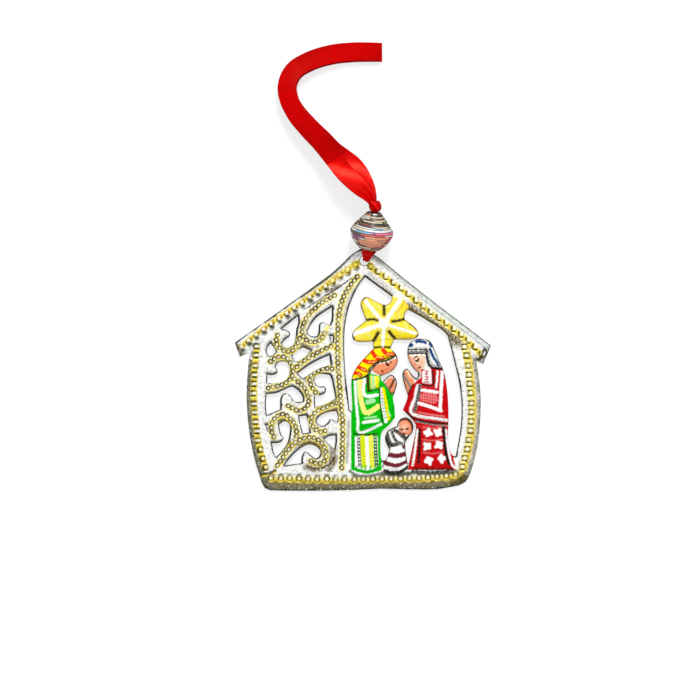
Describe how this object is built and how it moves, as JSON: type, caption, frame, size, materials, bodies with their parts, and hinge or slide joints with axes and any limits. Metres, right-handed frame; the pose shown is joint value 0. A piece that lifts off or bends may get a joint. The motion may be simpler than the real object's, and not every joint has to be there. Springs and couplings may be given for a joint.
{
  "type": "metal nativity ornament",
  "caption": "House-shaped ornament cut and hammered from one painted steel sheet, with a rolled paper bead threaded on its satin hanging ribbon.",
  "frame": {"origin": "on the table, under the middle of the steel plate's outline, with the ornament lying on its back", "axes": "+X to the right of the painted face, +Y from the foot of the house to the roof peak, +Z out of the painted face"},
  "size_m": [0.0958, 0.168, 0.0161],
  "materials": {
    "painted_steel": "bright hammered sheet, with gold, red, green, blue and flesh-coloured enamel on its raised parts",
    "varnished_paper": "printed magazine paper rolled up and varnished, glossy",
    "satin_ribbon": "red woven satin with a soft sheen"
  },
  "bodies": {
    "plate": {"steel_plate": "painted_steel"},
    "tie": {"ribbon_tie": "satin_ribbon"},
    "hanger": {"ribbon_in_bore": "satin_ribbon", "ribbon_knot": "satin_ribbon", "ribbon_front_strand": "satin_ribbon", "ribbon_back_strand": "satin_ribbon"},
    "bead": {"paper_bead": "varnished_paper"}
  },
  "joints": [
    {"name": "loop_swing", "type": "hinge", "parent": "plate", "child": "tie", "pos_m": [0.00055, 0.04086, 0.00145], "axis": [0, 0, 1], "range_deg": [-25, 25]},
    {"name": "hanger_lift", "type": "hinge", "parent": "tie", "child": "hanger", "pos_m": [0.00255, 0.04576, 0.00644], "axis": [0.9259, -0.3778, 0], "range_deg": [0, 85]},
    {"name": "bead_spin", "type": "hinge", "parent": "hanger", "child": "bead", "pos_m": [0.00255, 0.04576, 0.00644], "axis": [0.1261, 0.9577, 0.2588], "continuous": true}
  ]
}
